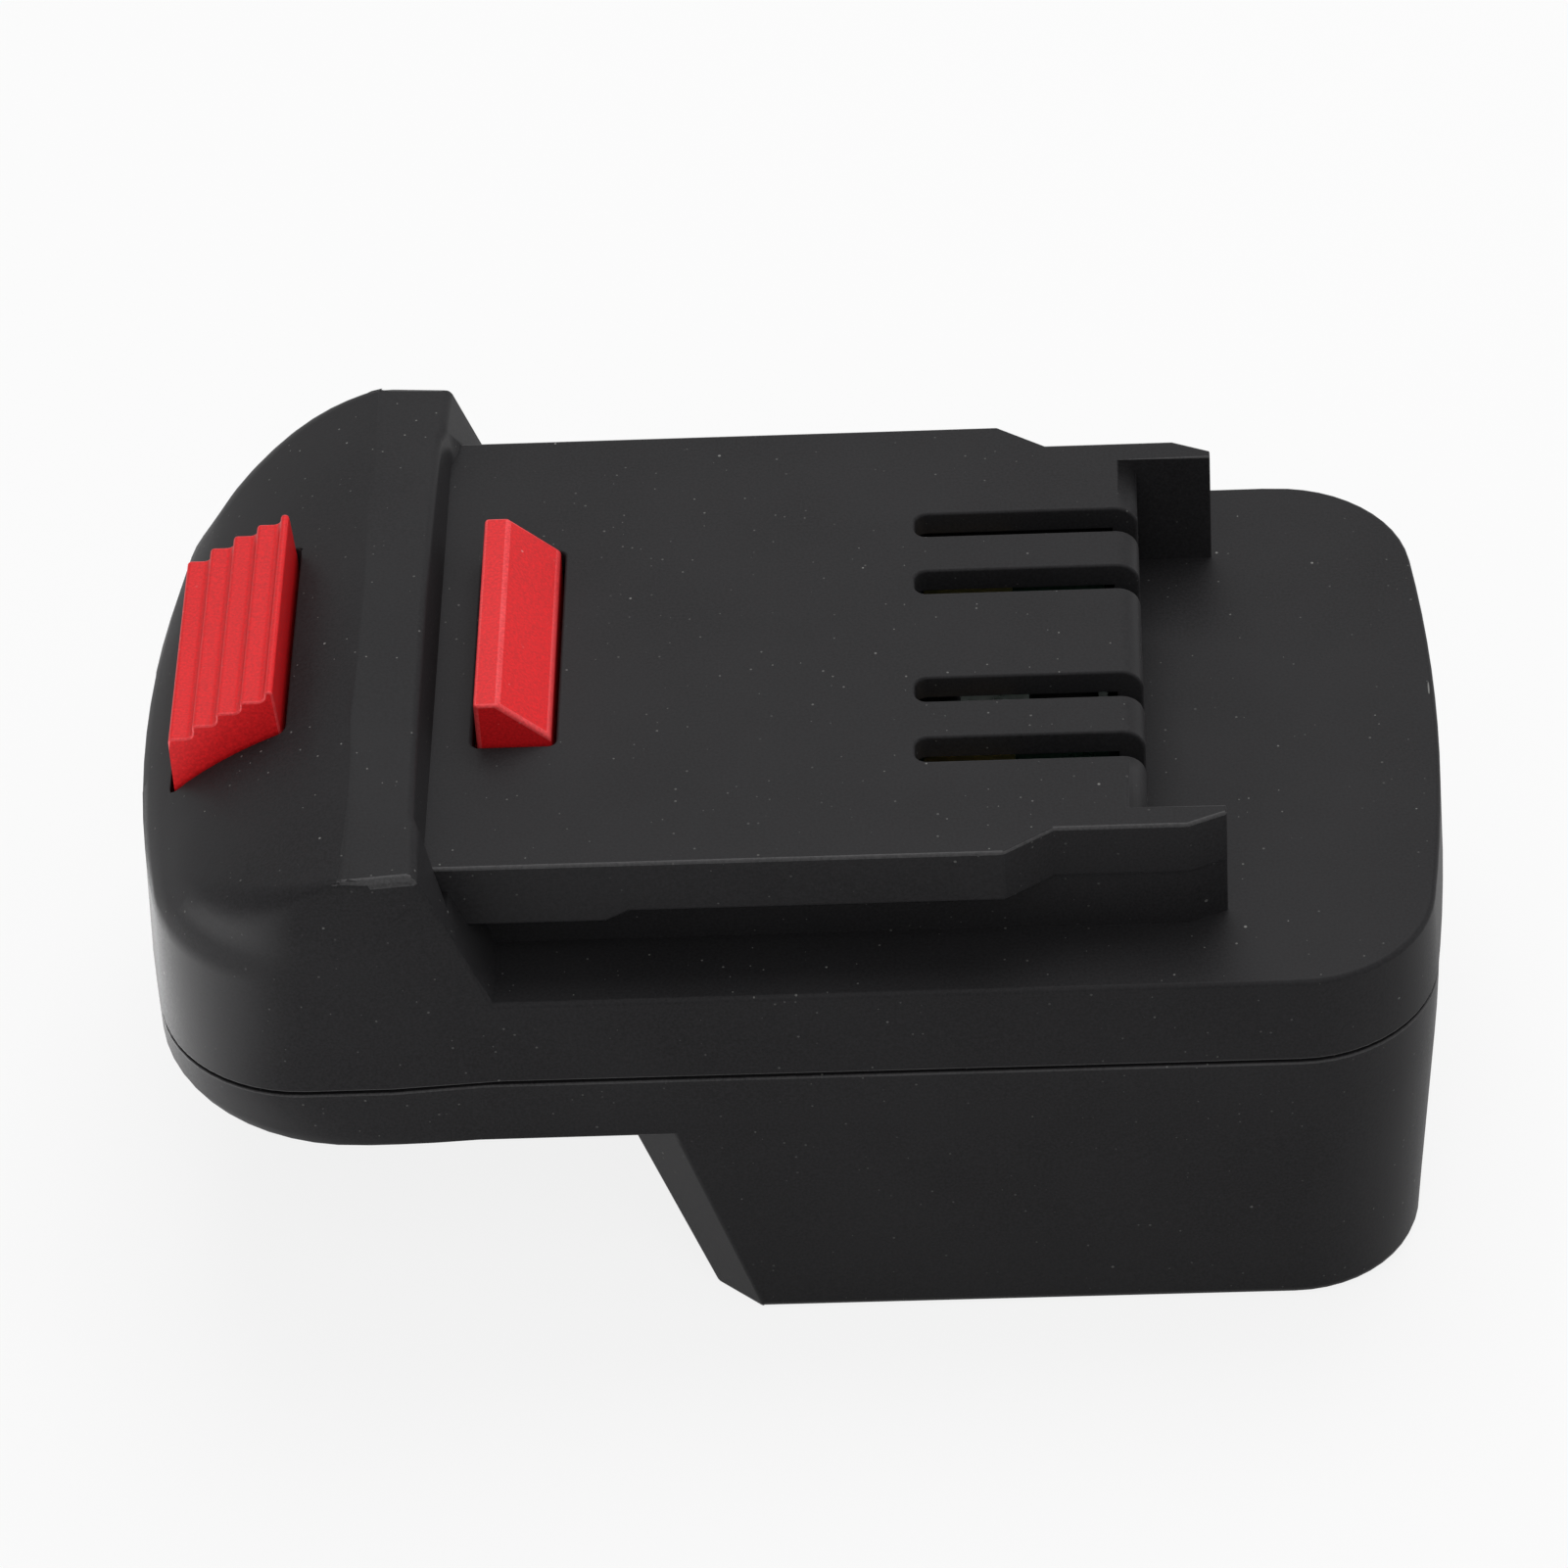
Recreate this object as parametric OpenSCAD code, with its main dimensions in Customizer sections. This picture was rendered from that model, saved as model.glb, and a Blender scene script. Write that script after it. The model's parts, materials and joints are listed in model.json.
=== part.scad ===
// Slide-on tool battery adapter.
// The tool rail with its terminal slots is on top, the receiver for a slide pack is below,
// and one red moulding carries both the stepped release button and the latch.
// X runs from the button end (negative) to the terminal end, Z is up from the underside.

/* [Body] */
// Length of the body over both bulged ends
body_len = 128; // [124:0.5:136]
// Width of the body at the seam between the shells
body_w = 75; // [73:0.5:80]
// How far each side of the front section stands proud of the body
front_proud = 0.7; // [0.2:0.1:1.2]
// Length of the front section that stands proud
front_len = 25.8; // [24:0.2:27]
// Length over which the proud sides blend back into the body
blend_len = 9; // [7:0.2:10]
// Plan radius of the front corners
corner_r = 15; // [13:0.5:17]
// Plan radius of the rear corners
rear_corner_r = 13.8; // [12:0.2:15]
// Bulge of the front end across its width
front_bulge = 2; // [1:0.1:2.6]
// Bulge of the rear end across its width
rear_bulge = 1.2; // [0.6:0.1:2]
// Wall thickness of both shells
wall = 2.5; // [2.2:0.1:2.8]
// Depth of the receiver block below the front tray
block_h = 25; // [23:0.2:28]
// Height of the tray, from its underside to the seam
tray_h = 8; // [7.6:0.2:10]
// Height from the seam to the shoulder
upper_h = 9.8; // [9.4:0.2:12]
// How far the block's walls lean in between the tray and the underside
block_draft = 0.8; // [0.3:0.1:1.2]
// How far the block's rear end leans in between the tray and the underside
block_end_draft = 2.6; // [1.6:0.1:3]
// Bulge of the block's rear end at the underside
block_bulge = 0.3; // [0.2:0.1:1]
// How far the tray's walls lean in below the seam
tray_draft = 0.3; // [0:0.1:0.5]
// How far the upper shell's walls lean in between the seam and the shoulder
upper_draft = 0.3; // [0.2:0.1:0.6]
// Radius of the tray's front edge
tray_edge_r = 2.4; // [1.6:0.1:2.8]
// Extra plan radius of the tray's front corners at its underside
tray_corner_extra = 5.5; // [3:0.5:7]
// Height of the tongue that locates the upper shell on the lower one
tongue_h = 1.5; // [1:0.1:2]
// Thickness of the tongue
tongue_t = 1; // [0.8:0.1:1.2]
// Clearance between the tongue and its rebate
tongue_clear = 0.15; // [0.1:0.05:0.25]

/* [Hump] */
// Distance from the front end to the foot of the hump's rear face
hump_len = 36.1; // [34:0.1:38]
// Height of the hump's top above the deck
hump_rise = 4.8; // [4.6:0.1:5.6]
// Drop of the hump's top from its middle to its sides
hump_crown = 1.45; // [0.8:0.05:2]
// Height of the front wall between the seam and the foot of the slope
front_wall_h = 13.4; // [12:0.1:14]
// Distance from the front end to the crest of the front slope
crest_len = 23.4; // [23:0.1:24.4]
// Slope of the front face at the crest
crest_slope = 13.8; // [12:0.2:16]
// Radius of the bowed front slope
slope_r = 45; // [44:0.5:50]
// Lean of the hump's rear ends from the vertical
hump_lean = 20.5; // [18:0.5:25]
// Lean of the rear face between those ends
rear_lean = 11; // [8:0.5:14]
// How far the rear face between the ends is set back at the deck
rear_recess = 1; // [0.6:0.1:1.2]
// Width of the rear face between the ends
rear_recess_w = 57; // [54:0.5:60]
// Width over which each end blends into the rear face
rear_recess_run = 3.7; // [2:0.1:4.5]
// Plan radius of the slope's corners at its crest
hump_corner_r = 1; // [0.6:0.1:3]
// How far the hump's sides lean in between the seam and its top
hump_draft = 0.8; // [0.4:0.1:1.2]
// How far the front wall leans in between the seam and the foot of the slope
front_draft = 0.6; // [0:0.1:0.8]

/* [Tool rail] */
// Height of the neck between the shoulder and the flange
neck_h = 6.9; // [6:0.1:8]
// Thickness of the flange
flange_t = 6.1; // [5.6:0.1:7]
// Width of the flange
deck_w = 64.2; // [62:0.2:66]
// Width of the neck under the flange
neck_w = 56.6; // [56:0.2:57.6]
// Distance from the deck's rear edge to the body's rear end
shelf_len = 29.1; // [28:0.1:31]
// Length of the two arms behind the deck
arm_len = 7.4; // [6.6:0.1:8.4]
// Width over the outside of the arms
arm_span = 57.8; // [57.8:0.2:60]
// Thickness of each arm
arm_t = 2.7; // [2.4:0.1:3]
// Length of the bevel at the end of each arm
arm_bevel_len = 3.7; // [2.5:0.1:4.5]
// Depth of the bevel at the end of each arm
arm_bevel = 1.6; // [1:0.1:1.8]
// Distance from the deck's rear edge forward to where the flange starts to narrow
kink_back = 13.8; // [13:0.1:15]
// Length over which the flange narrows to the arms
kink_len = 4.8; // [4:0.1:6]
// Radius along the deck's rear edge
deck_edge_r = 2.3; // [1.5:0.1:2.4]
// Length of the thicker flange next to the hump, along the shoulder
pad_len = 11; // [8:0.5:14]
// Extra thickness of the flange there
pad_t = 1.2; // [0.6:0.1:2]

/* [Terminal slots] */
// Length of the slots
slot_len = 22.1; // [21.6:0.1:23]
// Width of the slots
slot_w = 3.4; // [3.2:0.1:3.8]
// Corner radius at the closed end of the slots
slot_r = 1.2; // [0.8:0.1:1.5]
// Distance between the centres of the inner pair
slot_inner = 16.2; // [15:0.1:17]
// Distance between the centres of the outer pair
slot_outer = 33.8; // [32:0.1:35]
// Depth of the slots below the deck
slot_depth = 9; // [8:0.1:9.6]

/* [Release] */
// Travel of the release moulding
travel = 5; // [4.8:0.1:5.4]
// Gap left between the release moulding and its stops at the end of its travel
stop_clear = 0.1; // [0.05:0.05:0.2]
// Gap round the button and the latch in their windows
slide_clear = 0.45; // [0.35:0.05:0.6]
// Distance from the front end to the button's front face
button_setback = 4.8; // [4.6:0.1:5.4]
// Number of steps on the button below its rib
step_count = 4; // [3:1:5]
// Length of one step
step_len = 2.45; // [1.9:0.05:2.5]
// Rise of one step
step_rise = 1.4; // [1.2:0.05:1.45]
// How far the flight of steps bows up in its middle
step_bow = 0.25; // [0.1:0.05:0.3]
// Radius of the round lip of each step
step_lip_r = 0.42; // [0.3:0.02:0.5]
// Radius of the hollow at the foot of each rise
step_hollow_r = 0.75; // [0.5:0.05:0.9]
// Height of the front step above the slope at the button's front face
button_proud = 5.9; // [5.4:0.1:6.4]
// Width of the round rib behind the button's last step
rib_w = 0.84; // [0.7:0.02:1]
// How far the button's rear face leans back below the rib
rib_back = 0.36; // [0.2:0.02:0.6]
// Width of the button
button_w = 27; // [24:0.2:29]
// Gap along the deck between the hump and the latch window
latch_gap = 3.9; // [3.5:0.1:4.6]
// Length of the latch
latch_len = 7.2; // [6.6:0.1:8]
// Width of the latch
latch_w = 28.4; // [26:0.2:30]
// Height of the latch above the deck
latch_proud = 4.8; // [4:0.1:4.8]
// Length of the latch's flat top
latch_flat = 2.4; // [1.6:0.1:3]
// Height of the low end of the latch's ramp above the deck
latch_toe = 0.6; // [0.2:0.1:1]
// Corner radius of the windows round the button and the latch
window_r = 0.8; // [0.5:0.1:0.9]
// Thickness of the web that joins button and latch
web_t = 3; // [2.6:0.1:3.2]
// How far the web reaches past the button at each side
web_reach = 3; // [2:0.1:4]
// Clearance between the web and the roof above it
web_clear = 0.3; // [0.2:0.05:0.4]
// Distance from the front end to the guide pins
pin_setback = 27.5; // [26.6:0.1:28]
// Distance between the guide pins
pin_span = 20; // [18:0.2:22]
// Diameter of the guide pins
pin_d = 4.6; // [4:0.1:4.8]
// Gap round the guide pins in the web
pin_clear = 0.2; // [0.15:0.05:0.25]
// Wire diameter of the springs
spring_wire = 0.8; // [0.6:0.05:0.9]
// Gap between the guide pins and the springs
spring_gap = 0.4; // [0.3:0.05:0.6]
// Number of turns of each spring
spring_turns = 7; // [5:1:9]

/* [Receiver] */
// Length of the block along the side at the tray
block_len = 75.5; // [74:0.2:78]
// Lean of the block's front face from the vertical
block_lean = 18.5; // [14:0.5:20]
// Length of the bevel at the block's front corners
block_bevel_len = 5.3; // [3:0.1:6]
// Depth of the bevel at the block's front corners
block_bevel = 4.7; // [3:0.1:5]
// Width of the channel for the pack
channel_w = 63.6; // [62:0.2:65]
// Distance from the rear end to the channel's back wall
channel_back = 14; // [13.4:0.1:15]
// Height of the lips along the channel
lip_h = 5; // [4:0.1:6]
// How far each lip reaches in
lip_reach = 5; // [3:0.1:6]
// Distance from the front end to the recess for the pack's hook
hook_setback = 11; // [10:0.2:12]
// Length of the hook recess
hook_len = 10; // [8:0.2:11]
// Width of the hook recess
hook_w = 20; // [16:0.2:24]
// Depth of the hook recess
hook_depth = 5; // [4.6:0.1:5.6]

/* [Terminals] */
// Thickness of the contact board
board_t = 1.6; // [1.2:0.1:2]
// Width of the contact board
board_w = 44; // [42:0.2:46]
// Length of the contact board
board_len = 22; // [20:0.2:22.6]
// Height of the spring contacts
contact_h = 7.9; // [7:0.1:8.4]
// Length of the spring contacts
contact_len = 8.8; // [8:0.1:10]
// Sheet thickness of the spring contacts
contact_t = 0.5; // [0.3:0.05:0.6]
// Gap at the pinch of the spring contacts
contact_pinch = 0.7; // [0.5:0.1:1]
// Length of the terminal block
carrier_len = 12; // [11:0.2:14]
// Width of the terminal block
carrier_w = 40; // [38:0.2:44]
// How far the terminal block hangs into the channel
carrier_drop = 12; // [11:0.2:13]
// Distance from the rear end to the terminal block's rear face
carrier_back = 21; // [20:0.2:23]
// Thickness of the terminal block's flange
carrier_flange_t = 2; // [1.6:0.1:2.4]
// How far the terminal block's flange reaches past its ends
carrier_flange_end = 1.5; // [1:0.1:2]
// How far that flange reaches past the block at each end
carrier_flange = 6; // [5:0.1:6.4]
// Clearance round the terminal block in the floor
carrier_clear = 0.2; // [0.1:0.05:0.3]
// Thickness of the blades
blade_t = 0.8; // [0.6:0.1:1]
// Height of the blades
blade_h = 7; // [6:0.1:8]
// How far the blades stand out of the terminal block
blade_out = 12; // [10:0.2:13]
// Width of the tails that rise above the flange
tail_w = 3; // [2.4:0.1:3.6]
// How far the tails rise above the flange
tail_h = 4; // [3:0.1:5]
// Distance between the two power blades
blade_span = 28; // [26:0.2:30]
// Distance of the sense blade from the middle
blade_sense_y = 5; // [3:0.1:6]
// Diameter of the inner wires
wire_d = 2; // [1.6:0.1:2.4]

/* [Fasteners] */
// Shank diameter of the case screws
screw_d = 3; // [2.8:0.1:3.2]
// Head diameter of the case screws
screw_head_d = 5.6; // [5.2:0.1:6]
// Head height of the case screws
screw_head_h = 2.2; // [1.8:0.1:2.4]
// Shank length of the front case screws
front_screw_len = 14; // [12:0.5:15]
// Shank length of the rear case screws
rear_screw_len = 20; // [18:0.5:20.5]
// Depth of the front screw heads' recess
front_sink = 3; // [2.6:0.1:3.4]
// Depth of the rear screw heads' recess
rear_sink = 18.6; // [17.6:0.1:19.6]
// Distance from the front end to the front screws
front_screw_setback = 13.5; // [13:0.1:14.5]
// Distance between the front screws
front_screw_span = 54; // [53:0.2:56]
// Distance from the rear end to the rear screws
rear_screw_setback = 8.6; // [8.2:0.1:9]
// Distance between the rear screws
rear_screw_span = 48; // [46:0.2:50]
// Shank diameter of the small screws
small_d = 2.2; // [2:0.1:2.4]
// Head diameter of the small screws
small_head_d = 4.2; // [3.8:0.1:4.6]
// Head height of the small screws
small_head_h = 1.5; // [1.2:0.1:1.8]
// Shank length of the board screws
board_screw_len = 7.5; // [6:0.1:8]
// Shank length of the terminal block's screws
carrier_screw_len = 4.2; // [3.8:0.1:4.3]
// Distance between the board screws
board_screw_pitch = 13.5; // [12:0.1:14]
// Radial gap round a screw in the hole that it holds in
grip_clear = 0.05; // [0.02:0.01:0.08]
// Radial gap round a screw in the hole that it passes through
pass_clear = 0.2; // [0.1:0.05:0.3]
// Space left past the tip of a screw
tip_space = 1; // [0.5:0.1:1.2]

/* [Hidden] */
$fn = 64;
eps = 0.01;
far = 200;
arc_steps = 12;
fillet_steps = 4;
hump_rings = 14;
crown_steps = 7;

// Ends of the body and the heights of its levels
x_front = -body_len / 2;
x_rear = body_len / 2;
z_tray = block_h;
z_seam = z_tray + tray_h;
z_shoulder = z_seam + upper_h;
z_flange = z_shoulder + neck_h;
z_deck = z_flange + flange_t;
z_hump = z_deck + hump_rise;
z_floor = z_tray + wall;
z_roof = z_deck - wall;

// Front section and its blend into the body
front_w = body_w + 2 * front_proud;
x_blend = x_front + front_len;
x_main = x_blend + blend_len;
bulge_span = body_w / 2 - corner_r;

// The hump's slope and rear face
x_crest = x_front + crest_len;
x_foot = x_front + hump_len;
x_bow = x_crest + slope_r * sin(crest_slope);
z_bow = z_hump - slope_r * cos(crest_slope);
function arc_z(x, r) = z_bow + sqrt(r * r - pow(x - x_bow, 2));
function slope_z(x) = arc_z(x, slope_r);
function arc_x(z, r) = x_bow - sqrt(r * r - pow(z - z_bow, 2));
function lean_x(z) = x_foot - (z - z_shoulder) * tan(hump_lean);
function inner_slope_z(x) = arc_z(x, slope_r - wall);
function inner_lean_x(z) = lean_x(z) - wall / cos(hump_lean);
function mix(a, b, t) = a + t * (b - a);
function smooth(t) = let (s = min(1, max(0, t))) s * s * (3 - 2 * s);
z_wall = z_seam + front_wall_h;
z_edge = z_hump - hump_crown;
half_top = front_w / 2 - hump_draft;

// The rail
x_deck = x_rear - shelf_len;
x_arm = x_deck + arm_len;
x_kink = x_deck - kink_back;
x_slot = x_deck - slot_len;
slot_y = [slot_outer / 2, slot_inner / 2, -slot_inner / 2, -slot_outer / 2];

// Radius of the arc that bulges an end by the given amount
function bulge_r(bulge) = (bulge_span * bulge_span + bulge * bulge) / (2 * bulge);

// The release moulding
x_button = x_front + button_setback;
x_rib = x_button + step_count * step_len;
button_len = x_rib + rib_w + rib_back - x_button;
z_step = slope_z(x_button) + button_proud;
x_button_rear = x_button + button_len;
x_latch = lean_x(z_deck) - rear_recess + latch_gap + slide_clear;
x_latch_rear = x_latch + latch_len;
web_w = button_w + 2 * web_reach;
keeper_back = web_w * web_w / (8 * bulge_r(front_bulge));
keeper_drop = hump_crown * pow(web_w / front_w, 2);
function keeper_z(x) = inner_slope_z(x - keeper_back) - keeper_drop - web_clear;
z_keeper = keeper_z(x_button);
z_web = z_keeper - web_t;
x_pin = x_front + pin_setback;
z_pin = z_web + web_t - web_clear;
spring_r = pin_d / 2 + spring_gap + spring_wire / 2;
spring_h = z_web - z_floor;

// The terminals
x_contact = x_slot + slot_r / 2;
z_board = z_roof - contact_h - board_t;
x_board = x_slot - slot_w;
x_board_screw = x_board + small_head_d;
x_carrier = x_rear - carrier_back - carrier_len;
x_tail = x_carrier + carrier_len / 2 - tail_w / 2;
z_carrier = z_floor - carrier_drop - wall;
z_blade = z_carrier + (carrier_drop - blade_h) / 2;
z_tail = z_floor + carrier_flange_t + tail_h;
blade_y = [blade_span / 2, -blade_sense_y, -blade_span / 2];
contact_y = [slot_y[0], slot_y[2], slot_y[3]];

// The screws
front_screw_x = x_front + front_screw_setback;
rear_screw_x = x_rear - rear_screw_setback;
carrier_screw_y = carrier_w / 2 + carrier_flange / 2;
boss_wall = 2.3;

// Distance from a bulged end back to the centre of a corner arc of radius r that runs into it
function corner_back(bulge, half, r) =
    bulge_r(bulge) - sqrt(pow(bulge_r(bulge) - r, 2) - pow(half - r, 2));

// Points along an arc about c, without the given number at each end
function arc_points(c, r, a0, a1, skip = 0, steps = arc_steps) = [
    for (i = [skip : steps - skip])
        let (a = mix(a0, a1, i / steps))
        c + r * [cos(a), sin(a)]];

// Outline of a bulged end at x_nose, from its right side round to its left
function end_outline(x_nose, half, r, bulge) =
    let (arc_r = bulge_r(bulge),
        x = x_nose - corner_back(bulge, half, r),
        y = half - r,
        turn = atan2(y, x - x_nose + arc_r))
    concat(arc_points([x, -y], r, -90, -turn, 0),
        arc_points([x_nose - arc_r, 0], arc_r, -turn, turn, 1),
        arc_points([x, y], r, turn, 90, 0));

// Outline behind x_start, round to the rear end
function rear_outline(x_start, half, end_in, r, bulge) =
    let (nose = end_outline(x_rear - end_in, half, r, bulge))
    concat([[x_start, half]], [for (i = [len(nose) - 1 : -1 : 0]) nose[i]], [[x_start, -half]]);

// Points round the front end, from its right side to its left
function front_nose(front_in, half, r, bulge) =
    [for (p = end_outline(-x_front - front_in, half, r, bulge)) [-p[0], p[1]]];

// Outline of the front section up to x_end; its sides follow the blend into the body
function front_outline(x_end, front_in, side_in, r, bulge) =
    let (half = front_w / 2 - side_in,
        end_half = half - front_proud * min(1, (x_end - x_blend) / blend_len),
        nose = front_nose(front_in, half, r, bulge),
        x_side = max(x_blend, mix(nose[0][0], x_end, 0.3)))
    concat([[x_end, -end_half], [x_side, -half]], nose, [[x_side, half], [x_end, end_half]]);

// The body's outline behind its front section, set in by its own amount at the sides and the end
function rear_part(side_in, end_in, bulge) =
    rear_outline(x_main, body_w / 2 - side_in, end_in, rear_corner_r - side_in, bulge);

// Outline of the whole body, from its rear part and how far its front section is set in
function body_outline(rear, front_in, side_in, front_r) =
    let (half = front_w / 2 - side_in)
    concat(rear, [[x_blend, -half]], front_nose(front_in, half, front_r, front_bulge),
        [[x_blend, half]]);

// A straight-walled level inside the body, set in from its outline
module inner_level(z0, z1, inset) {
    translate([0, 0, z0])
        linear_extrude(z1 - z0)
            polygon(body_outline(rear_part(inset, inset, rear_bulge), inset, inset, corner_r - inset));
}

// A solid through a row of rings that all have the same number of points
module skin(rings) {
    count = len(rings[0]);
    last = (len(rings) - 1) * count;
    sides = [
        for (i = [0 : len(rings) - 2])
            for (k = [0 : count - 1])
                for (half = [0, 1])
                    let (a = i * count + k, b = i * count + (k + 1) % count)
                    half == 0 ? [a, b, b + count] : [a, b + count, a + count]];
    caps = [[for (k = [count - 1 : -1 : 0]) k], [for (k = [0 : count - 1]) last + k]];
    polyhedron([for (ring = rings) for (p = ring) p], concat(sides, caps));
}

// A solid through a stack of outlines, each given with its height
module loft(levels) {
    skin([for (level = levels) [for (p = level[1]) [p[0], p[1], level[0]]]]);
}

// Outline of the hump at a height, set in all round: walls below, then the slope, then the crown
function hump_ring(z, inset) =
    let (t = max(0, (z + inset - z_wall) / (z_hump - z_wall)),
        x_end = lean_x(max(z, z_shoulder - inset)) - inset / cos(hump_lean),
        draft = mix(0, hump_draft, (z - z_seam) / (z_hump - z_seam)),
        crown_in = half_top * (1 - sqrt(min(1, (z_hump - inset - z) / hump_crown))),
        wall_in = inset + front_draft * min(1, max(0, z - z_seam) / front_wall_h),
        front_in = t > 0 ? max(arc_x(z, slope_r - inset) - x_front, wall_in) : wall_in,
        full_r = mix(corner_r, hump_corner_r, smooth((t - 0.15) / 0.8)) - inset,
        r = min(max(full_r, hump_corner_r), 0.8 * (x_end - x_front - front_in)),
        bulge = max(front_bulge * (1 - t) * (1 - t), crown_bulge(z + inset), 0.1))
    [z, front_outline(x_end, front_in, draft + inset + crown_in, r, bulge)];

// How far the crown bulges the slope's outline at a height
function crown_bulge(z) =
    let (drop = hump_crown * pow(bulge_span / half_top, 2))
    z < z_wall ? 0 : arc_x(min(z + drop, z_hump), slope_r) - arc_x(z, slope_r);

// The hump, set in all round by the given amount
module hump_form(inset, z_base) {
    slope_rings = [for (i = [1 : hump_rings]) mix(z_wall, z_edge, sin(90 * i / hump_rings))];
    crown_rings = [for (i = [1 : crown_steps - 1]) z_hump - hump_crown * pow(1 - i / crown_steps, 2)];
    levels = concat([z_shoulder, z_wall], slope_rings, crown_rings);
    loft(concat([hump_ring(z_base, inset)], [for (z = levels) hump_ring(z - inset, inset)]));
}

// The hump's outside, with its rear face set back between the ends above the deck
module hump_outside() {
    z_low = z_deck - flange_t / 2;
    difference() {
        hump_form(0, z_seam);
        loft([for (z = [z_low, z_hump + 1])
            let (x = lean_x(z_deck) - rear_recess - (z - z_deck) * tan(rear_lean),
                half = rear_recess_w / 2,
                far_half = half + 2 * rear_recess_run)
            [z, [[x, half], [x + 2 * rear_recess, far_half], [x + 2 * rear_recess, -far_half],
                [x, -half]]]]);
    }
}

// Plan of the flange: wide along the deck, narrowing at the kinks to the arms
module flange_plan() {
    polygon([[x_foot - hump_len / 3, -deck_w / 2], [x_kink, -deck_w / 2],
        [x_kink + kink_len, -arm_span / 2], [x_deck, -arm_span / 2], [x_deck, arm_span / 2],
        [x_kink + kink_len, arm_span / 2], [x_kink, deck_w / 2],
        [x_foot - hump_len / 3, deck_w / 2]]);
}

// Plan of one arm behind the deck, with its bevelled end
module arm_plan(span) {
    polygon([[x_deck - wall, arm_span / 2 - arm_t], [x_arm, arm_span / 2 - arm_t],
        [x_arm, span / 2 - arm_bevel], [x_arm - arm_bevel_len, span / 2], [x_deck - wall, span / 2]]);
}

module rail_outside() {
    // neck
    translate([x_foot - hump_len / 3, -neck_w / 2, z_shoulder - wall])
        cube([x_deck - x_foot + hump_len / 3, neck_w, z_deck - wall - z_shoulder + wall]);
    // flange, with its rear edge rounded between the arms
    difference() {
        translate([0, 0, z_flange])
            linear_extrude(flange_t)
                flange_plan();
        translate([x_deck - deck_edge_r, arm_span / 2, z_deck - deck_edge_r])
            rotate([90, 0, 0])
                difference() {
                    cube([far, far, arm_span]);
                    translate([0, 0, -eps])
                        cylinder(r = deck_edge_r, h = arm_span + 2 * eps);
                }
    }
    // arms
    for (side = [0, 1])
        mirror([0, side, 0]) {
            translate([0, 0, z_shoulder - wall])
                linear_extrude(z_flange - z_shoulder + wall + eps)
                    arm_plan(neck_w);
            translate([0, 0, z_flange])
                linear_extrude(flange_t)
                    arm_plan(arm_span);
            translate([0, deck_w / 2, 0])
                rotate([90, 0, 0])
                    linear_extrude((deck_w - neck_w) / 2 + eps)
                        polygon([[x_foot - hump_len / 3, z_flange + eps],
                            [x_foot - hump_len / 3, z_flange - pad_t],
                            [x_foot + pad_len, z_flange - pad_t],
                            [x_foot + pad_len + 2 * pad_t, z_flange + eps]]);
        }
}

// A slot in plan, open at the rear
module slot_plan(y) {
    translate([x_slot, y - slot_w / 2 + slot_r])
        square([far, slot_w - 2 * slot_r]);
    translate([x_slot + slot_r, y - slot_w / 2])
        square([far, slot_w]);
    for (side = [-1, 1])
        translate([x_slot + slot_r, y + side * (slot_w / 2 - slot_r)])
            circle(r = slot_r);
}

// Bosses that the case screws hold in, hanging from the upper shell
module upper_bosses() {
    for (side = [-1, 1]) {
        intersection() {
            translate([front_screw_x, side * front_screw_span / 2, z_seam])
                cylinder(d = screw_d + 2 * boss_wall, h = z_hump - z_seam);
            translate([x_bow, front_w / 2, z_bow])
                rotate([90, 0, 0])
                    cylinder(r = slope_r - wall * 0.75, h = front_w);
        }
        translate([rear_screw_x, side * rear_screw_span / 2, z_seam])
            cylinder(d = screw_d + 2 * boss_wall, h = upper_h - wall / 2);
    }
    for (i = [0, 1])
        translate([x_board_screw + i * board_screw_pitch, 0, z_board + board_t])
            cylinder(d = small_d + 2 * boss_wall, h = contact_h + wall / 2);
}

module upper_holes() {
    for (side = [-1, 1]) {
        translate([front_screw_x, side * front_screw_span / 2, z_seam - tip_space])
            cylinder(r = screw_d / 2 + grip_clear,
                h = front_screw_len + front_sink + z_tray - z_seam + 2 * tip_space);
        translate([rear_screw_x, side * rear_screw_span / 2, z_seam - tip_space])
            cylinder(r = screw_d / 2 + grip_clear, h = rear_screw_len + rear_sink - z_seam + 2 * tip_space);
    }
    for (i = [0, 1])
        translate([x_board_screw + i * board_screw_pitch, 0, z_board])
            cylinder(r = small_d / 2 + grip_clear, h = board_screw_len + tip_space / 2);
}

// Plan of a window with round corners, with its gap round a moving form from x0 to x1
function window_plan(x0, x1, width) =
    let (front = x0 - slide_clear + window_r,
        rear = x1 + slide_clear - window_r,
        half = width / 2 + slide_clear - window_r)
    concat(arc_points([rear, -half], window_r, -90, 0, 0, fillet_steps),
        arc_points([rear, half], window_r, 0, 90, 0, fillet_steps),
        arc_points([front, half], window_r, 90, 180, 0, fillet_steps),
        arc_points([front, -half], window_r, 180, 270, 0, fillet_steps));

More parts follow.
